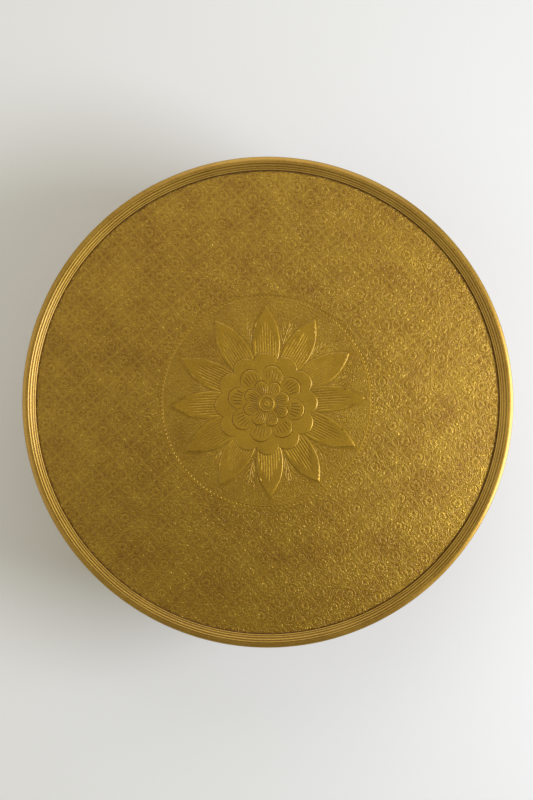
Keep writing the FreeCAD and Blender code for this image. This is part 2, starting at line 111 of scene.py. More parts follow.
def finish_surface(tree, shader, tone, low, high, rough, bump=None, low_at=0.0, high_at=1.0):
    """Colours a surface from low to high by tone, with roughness between two values, and a bump.

    The colour is low up to the tone low_at and high from the tone high_at. The bump is its pattern, its
    strength and the height of its steps.
    """
    ramp = add_node(tree, "ShaderNodeValToRGB", {"Fac": tone})
    first, last = ramp.color_ramp.elements
    first.position, last.position = low_at, high_at
    first.color, last.color = srgb(low), srgb(high)
    tree.links.new(ramp.outputs["Color"], shader.inputs["Base Color"])
    gloss = add_node(tree, "ShaderNodeMapRange", {"Value": tone, "To Min": rough[0], "To Max": rough[1]})
    tree.links.new(gloss.outputs["Result"], shader.inputs["Roughness"])
    if bump:
        pattern, strength, height = bump
        tooth = add_node(tree, "ShaderNodeBump", {
            "Height": pattern, "Strength": strength, "Distance": height,
        })
        tree.links.new(tooth.outputs["Normal"], shader.inputs["Normal"])
        tree.links.new(tooth.outputs["Normal"], shader.inputs["Coat Normal"])


def sawn_wood(name, dark, light, stretch):
    """Sawn or pressed wood: matt, its grain drawn out along one direction, with a slight tooth."""
    material, tree, shader = new_material(name, metallic=0.0)
    grain_width, tooth_height = 6 * MM, 0.3 * MM
    fibres = grain(tree, grain_width, detail=5.0, stretch=stretch)
    finish_surface(
        tree, shader, fibres, dark, light, rough=(0.78, 0.62), bump=(fibres, 0.3, tooth_height),
        low_at=0.35, high_at=0.68,
    )
    return material


def moulded_nylon():
    """Moulded nylon: near black and satin, with the faint orange peel of its mould."""
    material, tree, shader = new_material("moulded_nylon", metallic=0.0)
    peel_width, peel_height = 1.2 * MM, 0.2 * MM
    peel = grain(tree, peel_width)
    finish_surface(
        tree, shader, peel, "#17171A", "#2A2A2E", rough=(0.55, 0.42), bump=(peel, 0.25, peel_height),
        low_at=0.3, high_at=0.7,
    )
    return material


def zinc_plated_steel():
    """Zinc-plated steel: pale bluish grey and satin, blotched by the plating bath."""
    material, tree, shader = new_material("zinc_plated_steel", metallic=1.0)
    blotch_width = 3 * MM
    blotch = grain(tree, blotch_width)
    finish_surface(
        tree, shader, blotch, "#9DA1A3", "#C3C7C9", rough=(0.42, 0.28), low_at=0.3, high_at=0.7,
    )
    return material


def put_on(material, *names):
    """Gives CAD nodes that stay in view their material."""
    for name in names:
        nodes[name].data.materials.clear()
        nodes[name].data.materials.append(material)


steel = zinc_plated_steel()
# Board brushed with dark stain: brown streaks along X.
stained_board = sawn_wood("stained_board", "#3E2C1C", "#57402A", stretch=(0.1, 1, 1))
put_on(stained_board, "base_board")
put_on(moulded_nylon(), *[name for name in nodes if name.startswith("glide_pad")])
put_on(steel, "threaded_inserts", *[name for name in nodes if name.startswith("glide_stud")])

# The wooden frame
# Six sawn posts stand on the base board, through a middle hoop, and carry an upper hoop, all screwed
# with long zinc-plated screws. Two sheets of bending plywood are pinned round it as the drum's wall.
posts = [name for name in nodes if name.startswith("post_") and name[5:].isdigit()]
# Sawn rubberwood: warm brown, its grain running up the post.
put_on(sawn_wood("sawn_rubberwood", "#9A7448", "#C6A272", stretch=(1, 1, 0.06)), *posts)
# Plywood cut to a ring: pale, its grain running straight across the ring.
put_on(sawn_wood("plywood_hoop", "#A5814F", "#CBAA78", stretch=(1, 0.08, 1)), "upper_hoop", "middle_hoop")
# Bending plywood: the palest wood, its grain standing upright so that it rolls round the drum.
put_on(sawn_wood("bending_plywood", "#A98553", "#CFB07F", stretch=(1, 1, 0.08)), "ply_skin_1", "ply_skin_2")
# Pressed fibreboard: an even dull brown with no direction.
put_on(sawn_wood("fibreboard", "#8C6E4A", "#A88860", stretch=(1, 1, 1)), "top_board", "rim_core")
put_on(steel, "post_bottom_screws", "post_top_screws", "top_board_screws")

# The embossed side sheets
# Thin brass sheet run between rollers cut with a chequered pattern: a flower in a circle in one square,
# a saltire with four dots in the next. Three lengths are bent round the drum and meet under the strips.
# The brass is darkened by hand and rubbed back, so its hollows are brown and what stands up is pale gold.
sheet_thickness = 0.8 * MM
square = 23.45 * MM
emboss_rise = 0.5 * MM
# Heights over the sheet's sunk ground, of each square's plain field and of its low forms, and how deep the
# feet of raised forms go into it. Hollow is the relief of the ground itself.
field = 0.17 * MM
low_rise = 0.28 * MM
sink = 0.03 * MM
hollow = -0.6
# The brass's finish: its lacquer, how much its clouds, flecks and brown patina tell, and its fine marks.
lacquer_coat = 0.45
cloud_share, fleck_share, tone_offset = 0.6, 0.7, -0.05
patina_cover = 0.19
fleck_width = 2.4 * MM
stipple_width, stipple_height = 1.6 * MM, 0.8 * MM
mark_strength, mark_height = 0.35, 0.12 * MM


def aged_brass(
    name, dark="#6E4304", pale="#BE992E", carved=0.27, cloud=55 * MM, rough=(0.42, 0.2), stipple=0.0,
    marks=None,
):
    """Aged and lacquered brass: brown where patina gathers in its hollows, rubbed to pale gold elsewhere.

    Its mesh says how proud each point stands in the attribute relief, up to 1 on its crests and below 0 in
    its hollows, and carved is how much that tells. The patina also drifts in clouds and in fine flecks. A
    stipple is the tooth of fine punched dots, drawn coarser than it is so that it shows from two metres.
    Marks draws the pattern of a tool's marks in its place.
    """
    material, tree, shader = new_material(name, metallic=1.0, coat=lacquer_coat)
    drift = add_node(tree, "ShaderNodeMath", {
        0: grain(tree, cloud, detail=4.0), 1: cloud_share, 2: tone_offset,
    }, operation="MULTIPLY_ADD").outputs[0]
    fleck = add_node(tree, "ShaderNodeMath", {
        0: grain(tree, fleck_width, detail=2.0), 1: fleck_share, 2: drift,
    }, operation="MULTIPLY_ADD").outputs[0]
    relief = add_node(tree, "ShaderNodeAttribute", attribute_name="relief").outputs["Fac"]
    worn = add_node(tree, "ShaderNodeMath", {0: relief, 1: carved, 2: fleck}, operation="MULTIPLY_ADD")
    tone = add_node(tree, "ShaderNodeMath", {
        0: worn.outputs[0], 1: patina_cover,
    }, operation="SUBTRACT", use_clamp=True).outputs[0]
    bump = None
    if stipple:
        bump = (grain(tree, stipple_width, detail=1.0), stipple, stipple_height)
    if marks:
        bump = (marks(tree), mark_strength, mark_height)
    finish_surface(tree, shader, tone, dark, pale, rough, bump)
    return material


class RaisedWork:
    """Low forms raised from a sunk ground at z = 0, with how proud each point stands, for one mesh."""

    def __init__(self):
        self.points, self.faces, self.relief = [], [], []

    def add(self, points, faces, relief=None):
        """Adds points and faces. How proud a point stands comes from its height, unless it is given."""
        first = len(self.points)
        self.points += points
        self.faces += [[first + i for i in face] for face in faces]
        self.relief += relief or [
            max(min((1 - hollow) * z / emboss_rise + hollow, 1.0), hollow) for x, y, z in points
        ]

    def dome(self, x, y, length, width, rise, sides=6):
        """A round or long low dome, its longer side along X."""
        shoulder_share, shoulder_rise_share = 0.72, 0.65
        points = []
        for share, z in ((1.0, -sink), (shoulder_share, (rise + sink) * shoulder_rise_share - sink)):
            for side in range(sides):
                angle = 2 * math.pi * side / sides
                points.append((
                    x + length / 2 * share * math.cos(angle), y + width / 2 * share * math.sin(angle), z,
                ))
        faces = [
            (i, (i + 1) % sides, sides + (i + 1) % sides, sides + i) for i in range(sides)
        ] + [(sides + i, sides + (i + 1) % sides, 2 * sides) for i in range(sides)]
        self.add(points + [(x, y, rise)], faces)

    def ridge(self, start, end, width, rise, foot=-sink):
        """A straight ridge that tapers to a point at both ends."""
        full_height_shares = (0.15, 0.85)
        run = Vector(end) - Vector(start)
        side = Vector((-run.y, run.x)).normalized() * width / 2
        points = [(*start, foot)]
        for share in full_height_shares:
            middle = Vector(start) + run * share
            points += [(*(middle + side * step), z) for step, z in ((-1, foot), (0, rise), (1, foot))]
        faces = [(0, 1, 2), (0, 2, 3), (1, 4, 5, 2), (2, 5, 6, 3), (4, 7, 5), (5, 7, 6)]
        self.add(points + [(*end, foot)], faces)

    def rounds(self, sides, *rings):
        """Rings of points round the origin, outermost first, each joined to the next.

        A ring's points take its (radius, height) pairs by turns.
        """
        points = []
        for ring in rings:
            for side in range(sides):
                radius, z = ring[side % len(ring)]
                angle = 2 * math.pi * side / sides
                points.append((radius * math.cos(angle), radius * math.sin(angle), z))
        faces = [
            (row + i, row + (i + 1) % sides, row + sides + (i + 1) % sides, row + sides + i)
            for row in range(0, sides * (len(rings) - 1), sides) for i in range(sides)
        ]
        self.add(points, faces)

    def stud(self, x, y, half, rise, foot):
        """A flat-topped stud standing on its corner, its top half as wide as its foot."""
        corners = ((1, 0), (0, 1), (-1, 0), (0, -1))
        points = [(x + half * a, y + half * b, foot) for a, b in corners]
        points += [(x + half / 2 * a, y + half / 2 * b, rise) for a, b in corners]
        self.add(points, [(i, (i + 1) % 4, 4 + (i + 1) % 4, 4 + i) for i in range(4)] + [(4, 5, 6, 7)])

    def object(self, name, material=None, shown=True):
        """An object of all the forms added so far."""
        return mesh_object(name, self.points, self.faces, self.relief, material, shown)


def mesh_object(name, points, faces, relief, material=None, shown=True):
    """An object at the origin from points and faces, with the attribute relief on its points."""
    weld_gap = 0.002 * MM
    mesh = bpy.data.meshes.new(name)
    mesh.from_pydata([tuple(point) for point in points], [], faces)
    mesh.attributes.new("relief", "FLOAT", "POINT").data.foreach_set("value", relief)
    work = bmesh.new()
    work.from_mesh(mesh)
    bmesh.ops.remove_doubles(work, verts=work.verts, dist=weld_gap)
    bmesh.ops.dissolve_degenerate(work, edges=work.edges, dist=weld_gap)
    work.to_mesh(mesh)
    work.free()
    mesh.polygons.foreach_set("use_smooth", [True] * len(mesh.polygons))
    if material:
        mesh.materials.append(material)
    piece = bpy.data.objects.new(name, mesh)
    if shown:
        bpy.context.scene.collection.objects.link(piece)
    return piece


def keep(piece, body, slot, *replaced):
    """Tells the frame what a finished piece rides on and the nodes it stands for; its finish, the slot, is
    not used.
    """
    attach(piece, body)
    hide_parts(*replaced)


def corner_stud(work):
    """Both squares carry one of the studs that stand where four squares meet."""
    half_stud = 3.3 * MM
    work.stud(-square / 2, -square / 2, half_stud, emboss_rise, field)


def rosette_die():
    """A flower of eight petals round a pit, in a sunk ring. A low circle round it nearly fills the square.

    In a ring of (radius, height) pairs, the first is along a petal and the second between two petals.
    """
    work = RaisedWork()
    half = square / 2
    sides = 16
    circle_crest, circle_foot = (10.9 * MM, 0.3 * MM), (9.9 * MM, 0.05 * MM)
    petal_foot, gap_foot = (8.9 * MM, 0.12 * MM), (7.8 * MM, 0.05 * MM)
    petal_crest, gap_crest = (7.0 * MM, emboss_rise), (6 * MM, 0.16 * MM)
    petal_root, gap_root = (3.3 * MM, 0.38 * MM), (2.9 * MM, 0.1 * MM)
    pit = (1.3 * MM, -sink)
    work.rounds(
        sides, [(half, field)], [circle_crest], [circle_foot], [petal_foot, gap_foot],
        [petal_crest, gap_crest], [petal_root, gap_root], [pit],
    )
    turns = [2 * math.pi * i / sides for i in range(sides)]
    circle = [(half * math.cos(turn), half * math.sin(turn), field) for turn in turns]
    quarter = sides // 4
    for corner, (a, b) in enumerate(((1, 1), (-1, 1), (-1, -1), (1, -1))):
        arc = [circle[(quarter * corner + i) % sides] for i in range(quarter + 1)]
        work.add([(half * a, half * b, low_rise)] + arc, [(i + 1, 0, i + 2) for i in range(quarter)])
    corner_stud(work)
    return work.object("rosette_die", shown=False)


def saltire_die():
    """A saltire of thin ridges, and between its arms four sunk triangles with a dot in each."""
    work = RaisedWork()
    half = square / 2
    triangle_lip = [(3.2 * MM, 0, field), (9.4 * MM, 4.6 * MM, field), (9.4 * MM, -4.6 * MM, field)]
    triangle_floor = [(4.0 * MM, 0, -sink), (8.9 * MM, 3.8 * MM, -sink), (8.9 * MM, -3.8 * MM, -sink)]
    dot_distance, dot_width = 7.2 * MM, 2.4 * MM
    ridge_width, ridge_rise = 1.6 * MM, 0.4 * MM
    ridge_start_share, ridge_end_share = 0.03, 0.9
    for arm in range(4):
        turn = math.pi * arm / 2
        c, s = round(math.cos(turn)), round(math.sin(turn))
        points = [(0.0, 0.0, low_rise), (half, half, low_rise), (half, 0.0, field), (half, -half, low_rise)]
        points += triangle_lip + triangle_floor
        points = [(x * c - y * s, x * s + y * c, z) for x, y, z in points]
        faces = [
            (0, 4, 5, 1), (0, 3, 6, 4), (5, 6, 2), (2, 1, 5), (6, 3, 2),
            (4, 7, 8, 5), (5, 8, 9, 6), (6, 9, 7, 4),
        ]
        work.add(points, faces)
        work.dome(dot_distance * c, dot_distance * s, dot_width, dot_width, low_rise, sides=4)
        corner = Vector((c - s, c + s)) * half
        start, end = corner * ridge_start_share, corner * ridge_end_share
        work.ridge(tuple(start), tuple(end), ridge_width, ridge_rise, field)
    corner_stud(work)
    return work.object("saltire_die", shown=False)


def new_tree(name, **inputs):
    """An empty Geometry Nodes tree with these inputs, and its input sockets by name."""
    tree = bpy.data.node_groups.new(name, "GeometryNodeTree")
    for label, kind in inputs.items():
        tree.interface.new_socket(label.replace("_", " "), in_out="INPUT", socket_type="NodeSocket" + kind)
    tree.interface.new_socket("Geometry", in_out="OUTPUT", socket_type="NodeSocketGeometry")
    return tree, add_node(tree, "NodeGroupInput").outputs


def squares_over(reach):
    """How many squares cover a sheet that reaches this far each way from its middle. The number is odd."""
    return 2 * math.ceil(reach / square) + 1


def chequered_dies(tree, given):
    """A flat sheet of squares round the origin, rosettes and saltires by turns. Rows must be odd."""
    index = add_node(tree, "GeometryNodeInputIndex").outputs["Index"]
    second = add_node(tree, "ShaderNodeMath", {0: index, 1: 2.0}, operation="MODULO").outputs[0]
    first = add_node(tree, "ShaderNodeMath", {0: 1.0, 1: second}, operation="SUBTRACT").outputs[0]
    spans = {}
    for side in ("Columns", "Rows"):
        spans[side] = add_node(tree, "ShaderNodeMath", {
            0: given[side], 1: given["Pitch"], 2: given["Less Pitch"],
        }, operation="MULTIPLY_ADD").outputs[0]
    board = add_node(tree, "GeometryNodeMeshGrid", {
        "Size X": spans["Columns"], "Size Y": spans["Rows"],
        "Vertices X": given["Columns"], "Vertices Y": given["Rows"],
    }).outputs["Mesh"]
    joined = add_node(tree, "GeometryNodeJoinGeometry")
    for die, chosen in (("Rosette", first), ("Saltire", second)):
        shape = add_node(tree, "GeometryNodeObjectInfo", {"Object": given[die]}).outputs["Geometry"]
        copies = add_node(tree, "GeometryNodeInstanceOnPoints", {
            "Points": board, "Selection": chosen, "Instance": shape,
        })
        tree.links.new(copies.outputs["Instances"], joined.inputs["Geometry"])
    return add_node(tree, "GeometryNodeRealizeInstances", {
        "Geometry": joined.outputs["Geometry"],
    }).outputs["Geometry"]


def trimmed(tree, shape, place, allowed):
    """Cuts away the faces that lie outside the allowed places, and draws the rest in to them."""
    tolerance = 0.01 * MM
    excess = add_node(tree, "ShaderNodeVectorMath", {0: place, 1: allowed}, operation="DISTANCE")
    outside = add_node(tree, "ShaderNodeMath", {
        0: excess.outputs["Value"], 1: tolerance,
    }, operation="GREATER_THAN").outputs[0]
    cut = add_node(tree, "GeometryNodeDeleteGeometry", {
        "Geometry": shape, "Selection": outside,
    }, domain="FACE").outputs["Geometry"]
    return add_node(tree, "GeometryNodeSetPosition", {
        "Geometry": cut, "Position": allowed,
    }).outputs["Geometry"]


def end_tree(tree, shape, given):
    """Ends a tree with its material."""
    painted = add_node(tree, "GeometryNodeSetMaterial", {"Geometry": shape, "Material": given["Material"]})
    add_node(tree, "NodeGroupOutput", {"Geometry": painted.outputs["Geometry"]})
    return tree


def wrapped_tree():
    """Embosses a sheet that is bent round the drum, from its middle angle and height."""
    tree, given = new_tree(
        "rolled_embossing", Rosette="Object", Saltire="Object", Pitch="Float", Less_Pitch="Float",
        Columns="Int", Rows="Int", Half_Size="Vector", Radius="Float", Middle_Angle="Float",
        Middle_Height="Float", Material="Material",
    )
    flat = chequered_dies(tree, given)
    place = add_node(tree, "GeometryNodeInputPosition").outputs["Position"]
    least = add_node(tree, "ShaderNodeVectorMath", {0: given["Half Size"], "Scale": -1.0}, operation="SCALE")
    low = add_node(tree, "ShaderNodeVectorMath", {0: place, 1: least.outputs["Vector"]}, operation="MAXIMUM")
    allowed = add_node(tree, "ShaderNodeVectorMath", {
        0: low.outputs["Vector"], 1: given["Half Size"],
    }, operation="MINIMUM").outputs["Vector"]
    cut = trimmed(tree, flat, place, allowed)
    part = add_node(tree, "ShaderNodeSeparateXYZ", {"Vector": place}).outputs
    turn = add_node(tree, "ShaderNodeMath", {0: part["X"], 1: given["Radius"]}, operation="DIVIDE").outputs[0]
    angle = add_node(tree, "ShaderNodeMath", {0: turn, 1: given["Middle Angle"]}, operation="ADD").outputs[0]
    reach = add_node(tree, "ShaderNodeMath", {0: part["Z"], 1: given["Radius"]}, operation="ADD").outputs[0]
    along = []
    for side in ("COSINE", "SINE"):
        share = add_node(tree, "ShaderNodeMath", {0: angle}, operation=side).outputs[0]
        along.append(add_node(tree, "ShaderNodeMath", {0: share, 1: reach}, operation="MULTIPLY").outputs[0])
    height = add_node(tree, "ShaderNodeMath", {0: part["Y"], 1: given["Middle Height"]}, operation="ADD")
    bent = add_node(tree, "ShaderNodeCombineXYZ", {"X": along[0], "Y": along[1], "Z": height.outputs[0]})
    shape = add_node(tree, "GeometryNodeSetPosition", {
        "Geometry": cut, "Position": bent.outputs["Vector"],
    }).outputs["Geometry"]
    return end_tree(tree, shape, given)


def run_tree(name, tree, **values):
    """What a tree makes with these inputs, as a plain mesh object at the origin."""
    piece = bpy.data.objects.new(name, bpy.data.meshes.new(name))
    bpy.context.scene.collection.objects.link(piece)
    modifier = piece.modifiers.new(name, "NODES")
    modifier.node_group = tree
    for socket in tree.interface.items_tree:
        if socket.in_out == "INPUT":
            modifier[socket.identifier] = values[socket.name.replace(" ", "_")]
    bpy.context.view_layer.update()
    evaluated = piece.evaluated_get(bpy.context.evaluated_depsgraph_get())
    mesh = bpy.data.meshes.new_from_object(evaluated)
    piece.modifiers.remove(modifier)
    piece.data = mesh
    mesh.polygons.foreach_set("use_smooth", [True] * len(mesh.polygons))
    return piece


def curved_plate(name, inner, outer, low, high, start, end, material, relief):
    """A closed plate bent round the table's axis, between two radii, heights and angles."""
    columns = 96
    points, faces = [], []
    for column in range(columns + 1):
        angle = start + (end - start) * column / columns
        for radius, z in ((inner, low), (outer, low), (outer, high), (inner, high)):
            points.append((radius * math.cos(angle), radius * math.sin(angle), z))
    for column in range(columns):
        near, far = 4 * column, 4 * column + 4
        for i in range(4):
            j = (i + 1) % 4
            faces.append((near + i, near + j, far + j, far + i))
    faces.append((3, 2, 1, 0))
    faces.append(tuple(4 * columns + i for i in range(4)))
    piece = mesh_object(name, points, faces, [relief] * len(points), material)
    piece.data.polygons.foreach_set("use_smooth", [False] * len(faces))
    return piece


rosette = rosette_die()
saltire = saltire_die()
wrap = wrapped_tree()
# The hollows of the rolled sheet: brown, with a slight tooth.
side_ground = aged_brass("embossed_brass_ground", stipple=0.5)
# What stands up on it: the same brown, rubbed to gold on its crests.
side_pattern = aged_brass("embossed_brass_pattern", carved=0.23, stipple=0.5)
body_radius = 396.5 * MM
ground_radius = body_radius - emboss_rise
half_slit = 0.3 * MM
half_strip = 10 * MM
edge_gap = 0.5 * MM
sheets = [name for name in sorted(nodes) if name.startswith("side_sheet")]
span = 2 * math.pi / len(sheets)
seam_angle = math.pi / 2
band_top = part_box("base_band")[1].z
skirt_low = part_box("rim_moulding")[0].z
half_length = ground_radius * span / 2 - half_strip - half_slit
half_height = (skirt_low - band_top) / 2 - edge_gap
# Forms are trimmed along the sheet and across it, and nothing reaches as far as this off it.
no_limit = 1.0
for number, name in enumerate(sheets):
    low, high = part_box(name)
    middle = seam_angle + span * (number + 0.5)
    reach = span / 2 - half_slit / body_radius
    sheet = curved_plate(
        name + "_brass", body_radius - sheet_thickness, ground_radius, low.z, high.z,
        middle - reach, middle + reach, side_ground, hollow,
    )
    keep(sheet, "root", "antique_brass", name)
    squares = run_tree(
        name + "_embossing", wrap, Rosette=rosette, Saltire=saltire, Pitch=square, Less_Pitch=-square,
        Columns=squares_over(half_length), Rows=squares_over(half_height),
        Half_Size=(half_length, half_height, no_limit), Radius=ground_radius, Middle_Angle=middle,
        Middle_Height=(band_top + skirt_low) / 2, Material=side_pattern,
    )
    keep(squares, "root", "antique_brass", name)

# The seam strips, base band and pins
# Plain brass strips cover the seams, and a deeper one with a rolled bead along its top edge is bent round
# the foot of the drum. Round-headed brass pins hold them, 36 round each band and two rows down each strip.


def lathe(name, profile, steps, material, relief):
    """Spins a closed profile of (radius, height) points round the table's axis."""
    count = len(profile)
    points, faces = [], []
    for step in range(steps):
        turn = 2 * math.pi * step / steps
        points += [(r * math.cos(turn), r * math.sin(turn), z) for r, z in profile]
        here, beyond = step * count, (step + 1) % steps * count
        for i in range(count):
            j = (i + 1) % count
            faces.append((here + i, beyond + i, beyond + j, here + j))
    return mesh_object(name, points, faces, list(relief) * steps, material)


def bulged(start, end, bulge, count):
    """Points along a shallow arc of a profile from start to end, standing off to the left."""
    run, rise = end[0] - start[0], end[1] - start[1]
    chord = math.hypot(run, rise)
    points = []
    for i in range(count + 1):
        share = i / count
        off = 4 * bulge * share * (1 - share) / chord
        points.append((start[0] + run * share - rise * off, start[1] + rise * share + run * off))
    return points


def crest(count, low):
    """How proud the points of a bead stand, from its foot over its crest to its foot."""
    return [low + (1 - low) * math.sin(math.pi * i / count) for i in range(count + 1)]


def spun_rings(tree):
    """Fine rings round the table's axis, as a wheel or a roller leaves on a band."""
    ring_pitch = 0.9 * MM
    place = add_node(tree, "ShaderNodeTexCoord").outputs["Object"]
    part = add_node(tree, "ShaderNodeSeparateXYZ", {"Vector": place}).outputs
    flat = add_node(tree, "ShaderNodeCombineXYZ", {"X": part["X"], "Y": part["Y"]}).outputs["Vector"]
    reach = add_node(tree, "ShaderNodeVectorMath", {0: flat}, operation="LENGTH").outputs["Value"]
    ring = add_node(tree, "ShaderNodeCombineXYZ", {"X": reach, "Y": part["Z"]}).outputs["Vector"]
    return add_node(tree, "ShaderNodeTexNoise", {
        "Vector": ring, "Scale": 1 / ring_pitch, "Detail": 2.0,
    }).outputs["Fac"]


band_radius = 398.4 * MM
band_wall = 1.6 * MM
band_inner = band_radius - band_wall
bead_height, bead_bulge = 6 * MM, 1.6 * MM
bead_steps = 10
band_steps = 384
edge = 0.4 * MM
flat_relief, bead_foot_relief = 0.5, 0.2
band_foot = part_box("base_band")[0].z
# Strip brass drawn through rollers and bent to a ring: brown gold, finely lined along its length.
strip_brass = aged_brass("lacquered_brass_strip", marks=spun_rings)
band_profile = [
    (band_inner, band_top), (band_inner, band_foot),
    (band_radius - edge, band_foot), (band_radius, band_foot + edge),
]
band_relief = [flat_relief] * len(band_profile) + crest(bead_steps, bead_foot_relief)
band_profile += bulged(
    (band_radius, band_top), (band_radius, band_top - bead_height), bead_bulge, bead_steps,
)[::-1]
base_band = lathe("base_band_brass", band_profile, band_steps, strip_brass, band_relief)
keep(base_band, "root", "antique_brass", "base_band")
# Flat strip, rolled smooth: paler and less brown than the embossed sheets, with no tooth.
plain_brass = aged_brass("flat_brass_strip", "#7C5A1E", "#D2AC50")
put_on(plain_brass, *[name for name in nodes if name.startswith("seam_strip")])
# Struck pin heads: the palest brass, rubbed most because they stand proud, and no two quite alike.
pin_brass = aged_brass("brass_pin_head", "#8E6A28", "#E0BC66", cloud=4 * MM)
put_on(pin_brass, "base_band_pins", "skirt_pins", "seam_strip_pins")

# The tray's embossed sheet
# A disc of the same rolled brass, glued to the top board. Its squares run a few degrees off the flower's
# axes, as the sheet happened to lie when it was cut. A matted ground shows between the raised work.
tray_z = 390 * MM
ground_z = tray_z - emboss_rise
sheet_radius = 378.3 * MM
edge_bevel = 0.1 * MM
# The spun ground closes round a hole at its middle that is too small to see.
middle_hole = 0.02 * MM
ground_rings, ground_steps = 24, 128
rope_radius = 173 * MM
rope_width = 8 * MM
inner_ground_relief = 0.1
lattice_turn = math.radians(-4.8)
lattice_start = (-6 * MM, 2 * MM)
trim_gap = 0.2 * MM


def trimmed_round_tree():
    """Embosses a flat disc between two radii, its squares turned by an angle."""
    tree, given = new_tree(
        "tray_embossing", Rosette="Object", Saltire="Object", Pitch="Float", Less_Pitch="Float",
        Columns="Int", Rows="Int", Turn="Float", Start="Vector", Least_Radius="Float", Most_Radius="Float",
        Material="Material",
    )
    flat = chequered_dies(tree, given)
    spin = add_node(tree, "ShaderNodeCombineXYZ", {"Z": given["Turn"]}).outputs["Vector"]
    laid = add_node(tree, "GeometryNodeTransform", {
        "Geometry": flat, "Translation": given["Start"], "Rotation": spin,
    }).outputs["Geometry"]
    place = add_node(tree, "GeometryNodeInputPosition").outputs["Position"]
    part = add_node(tree, "ShaderNodeSeparateXYZ", {"Vector": place}).outputs
    level = add_node(tree, "ShaderNodeCombineXYZ", {"X": part["X"], "Y": part["Y"]}).outputs["Vector"]
    reach = add_node(tree, "ShaderNodeVectorMath", {0: level}, operation="LENGTH").outputs["Value"]
    kept = add_node(tree, "ShaderNodeClamp", {
        "Value": reach, "Min": given["Least Radius"], "Max": given["Most Radius"],
    }).outputs["Result"]
    share = add_node(tree, "ShaderNodeMath", {0: kept, 1: reach}, operation="DIVIDE").outputs[0]
    drawn = add_node(tree, "ShaderNodeVectorMath", {0: level, "Scale": share}, operation="SCALE")
    drawn_part = add_node(tree, "ShaderNodeSeparateXYZ", {"Vector": drawn.outputs["Vector"]}).outputs
    allowed = add_node(tree, "ShaderNodeCombineXYZ", {
        "X": drawn_part["X"], "Y": drawn_part["Y"], "Z": part["Z"],
    }).outputs["Vector"]
    return end_tree(tree, trimmed(tree, laid, place, allowed), given)


# Ground matted with a punch: a strong tooth and a softer shine, dark outside the rope.
ground_brass = aged_brass("matted_brass_ground", rough=(0.42, 0.28), stipple=0.78)
# The rolled squares, worn by use: glinting crests over a brown field with a strong tooth.
pattern_brass = aged_brass("rubbed_brass_pattern", carved=0.22, stipple=0.82)
sheet_low = tray_z - sheet_thickness
tray_count = squares_over(sheet_radius)
ground_profile = [
    (middle_hole, ground_z), (middle_hole, sheet_low), (sheet_radius, sheet_low),
    (sheet_radius, ground_z - edge / 2), (sheet_radius - edge_bevel, ground_z),
]
ground_profile += [
    ((sheet_radius - edge) * (1 - i / ground_rings) + middle_hole, ground_z) for i in range(ground_rings)
]
ground_relief = [
    hollow if radius > rope_radius + rope_width else inner_ground_relief for radius, z in ground_profile
]
tray_sheet = lathe("tray_sheet", ground_profile, ground_steps, ground_brass, ground_relief)
keep(tray_sheet, "root", "antique_brass", "top_sheet")
tray_squares = run_tree(
    "tray_embossing", trimmed_round_tree(), Rosette=rosette, Saltire=saltire, Pitch=square,
    Less_Pitch=-square, Columns=tray_count, Rows=tray_count, Turn=lattice_turn,
    Start=(*lattice_start, ground_z), Least_Radius=rope_radius + rope_width / 2,
    Most_Radius=sheet_radius - trim_gap, Material=pattern_brass,
)
keep(tray_squares, "root", "antique_brass", "top_sheet")

# The rope round the flower
# A ring of some 160 slanted beads between two thin lines, raised with punches from behind. It is set out
# by eye, so it stands a little off the tray's middle.


def rope_tree():
    """Sets one bead after another round a circle, each turned slantwise to it."""
    tree, given = new_tree(
        "rope_beads", Bead="Object", Count="Int", Radius="Float", Step_Angle="Float", Slant="Float",
        Middle="Vector", Material="Material",
    )
    circle = add_node(tree, "GeometryNodeMeshCircle", {
        "Vertices": given["Count"], "Radius": given["Radius"],
    }).outputs["Mesh"]
    index = add_node(tree, "GeometryNodeInputIndex").outputs["Index"]
    angle = add_node(tree, "ShaderNodeMath", {
        0: index, 1: given["Step Angle"], 2: given["Slant"],
    }, operation="MULTIPLY_ADD").outputs[0]
    turn = add_node(tree, "ShaderNodeCombineXYZ", {"Z": angle}).outputs["Vector"]
    bead = add_node(tree, "GeometryNodeObjectInfo", {"Object": given["Bead"]}).outputs["Geometry"]
    beads = add_node(tree, "GeometryNodeInstanceOnPoints", {
        "Points": circle, "Instance": bead, "Rotation": turn,
    }).outputs["Instances"]
    real = add_node(tree, "GeometryNodeRealizeInstances", {"Geometry": beads}).outputs["Geometry"]
    shape = add_node(tree, "GeometryNodeTransform", {"Geometry": real, "Translation": given["Middle"]})
    return end_tree(tree, shape.outputs["Geometry"], given)


rope_bead = RaisedWork()
rope_bead.dome(0, 0, length=5.6 * MM, width=2.9 * MM, rise=0.4 * MM)
rope_count, rope_steps = 162, 256
rope_slant = math.radians(55)
rope_middle = (-2 * MM, 0.3 * MM)
# Brass chased by hand: satin, lighter than the rolled squares, brown only in its cut lines.
flower_brass = aged_brass(
    "chased_brass", "#71500A", "#C79B30", carved=0.35, cloud=40 * MM, rough=(0.46, 0.34), stipple=0.25,
)
rope = run_tree(
    "rope_beads", rope_tree(), Bead=rope_bead.object("rope_bead", shown=False), Count=rope_count,
    Radius=rope_radius, Step_Angle=2 * math.pi / rope_count, Slant=rope_slant,
    Middle=(*rope_middle, ground_z + sink), Material=flower_brass,
)
keep(rope, "root", "antique_brass", "top_sheet")
